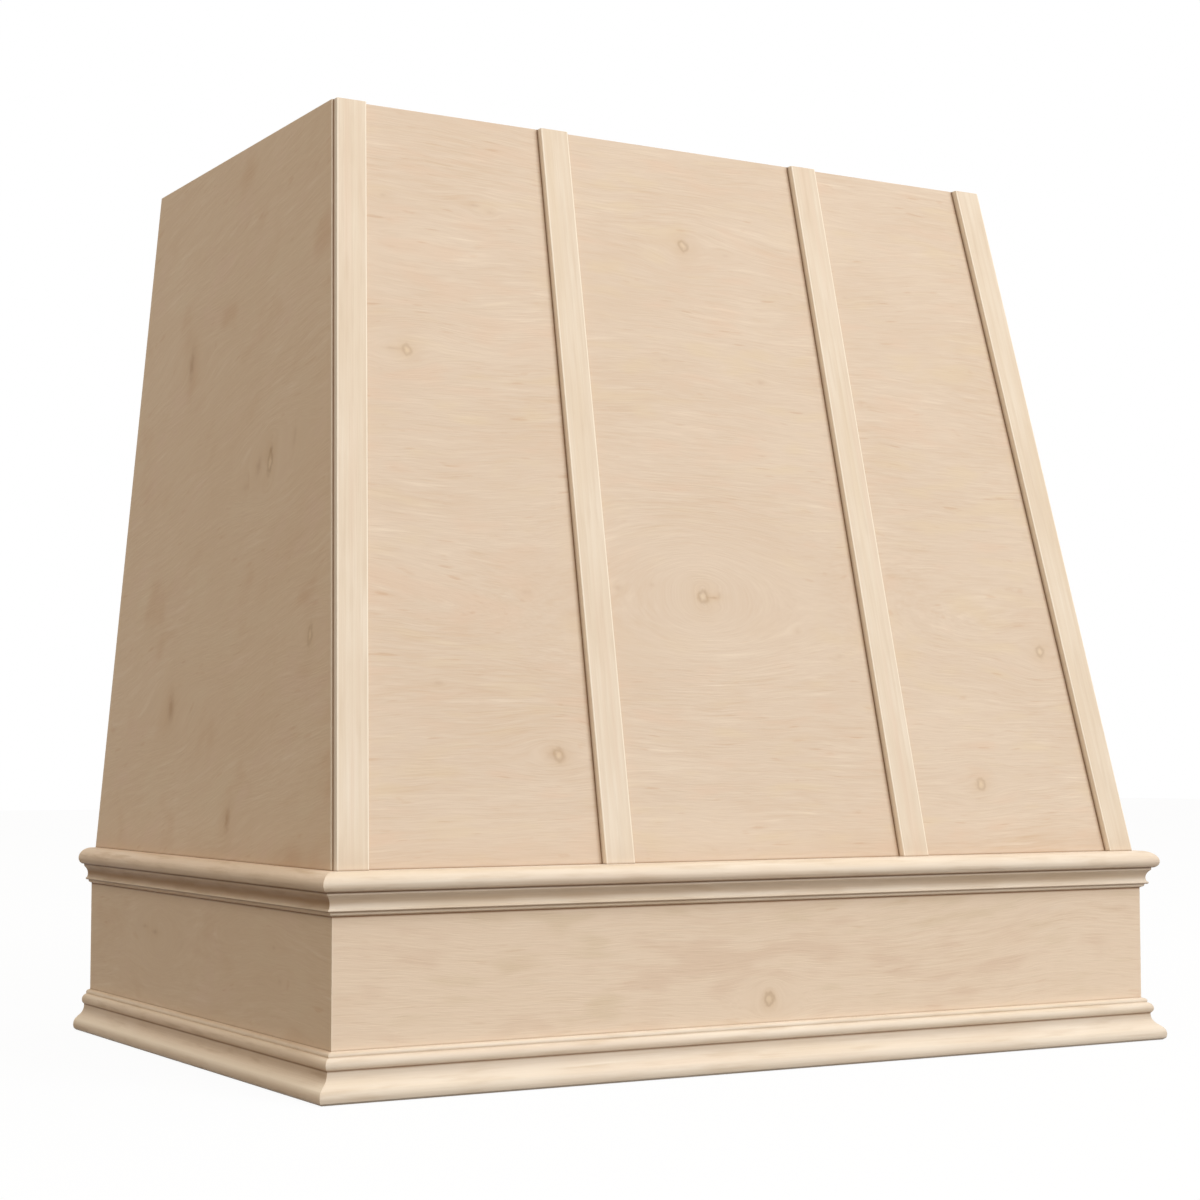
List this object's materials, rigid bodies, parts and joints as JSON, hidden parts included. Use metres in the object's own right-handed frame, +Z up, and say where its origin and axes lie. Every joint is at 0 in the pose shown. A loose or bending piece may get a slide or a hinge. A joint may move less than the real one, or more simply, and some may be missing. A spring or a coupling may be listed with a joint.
{
  "type": "wooden range hood cover",
  "caption": "Tapered wooden cover for a kitchen extractor, with raised straps on its front, an apron below, and cap and base mouldings.",
  "frame": {"origin": "middle of the cover's footprint, on the plane of its lower edge", "axes": "+X along the wall to the right seen from the room, +Y into the wall, +Z up"},
  "size_m": [0.7924, 0.5486, 0.762],
  "materials": {
    "canopy_veneer": "unfinished maple-faced plywood, sanded",
    "canopy_side_veneer": "unfinished maple-faced plywood, sanded",
    "apron_veneer": "unfinished maple-faced board, sanded",
    "apron_side_veneer": "unfinished maple-faced board, sanded",
    "strap_maple": "unfinished solid maple, planed and sanded",
    "moulding_maple": "unfinished solid maple moulding, sanded",
    "moulding_side_maple": "unfinished solid maple moulding, sanded",
    "frame_lumber": "planed softwood",
    "screw_steel": "plated steel"
  },
  "bodies": {
    "root": {"apron_corner_block_left": "frame_lumber", "apron_corner_block_right": "frame_lumber", "apron_front": "apron_veneer", "apron_left": "apron_side_veneer", "apron_right": "apron_side_veneer", "base_cleat_front": "frame_lumber", "base_cleat_left": "frame_lumber", "base_cleat_right": "frame_lumber", "base_cleat_screws": "screw_steel", "base_moulding_front": "moulding_maple", "base_moulding_left": "moulding_side_maple", "base_moulding_right": "moulding_side_maple", "bed_moulding_front": "moulding_maple", "bed_moulding_left": "moulding_side_maple", "bed_moulding_right": "moulding_side_maple", "canopy_panel_front": "canopy_veneer", "canopy_panel_left": "canopy_side_veneer", "canopy_panel_right": "canopy_side_veneer", "cap_moulding_front": "moulding_maple", "cap_moulding_left": "moulding_side_maple", "cap_moulding_right": "moulding_side_maple", "corner_cleat_left": "frame_lumber", "corner_cleat_right": "frame_lumber", "insert_cleat_front": "frame_lumber", "insert_cleat_left": "frame_lumber", "insert_cleat_right": "frame_lumber", "insert_cleat_screws": "screw_steel", "strap_inner_left": "strap_maple", "strap_inner_right": "strap_maple", "strap_outer_left": "strap_maple", "strap_outer_right": "strap_maple", "top_cleat_front": "frame_lumber", "top_cleat_left": "frame_lumber", "top_cleat_right": "frame_lumber", "wall_rail_lower": "frame_lumber", "wall_rail_upper": "frame_lumber"}
  },
  "joints": []
}
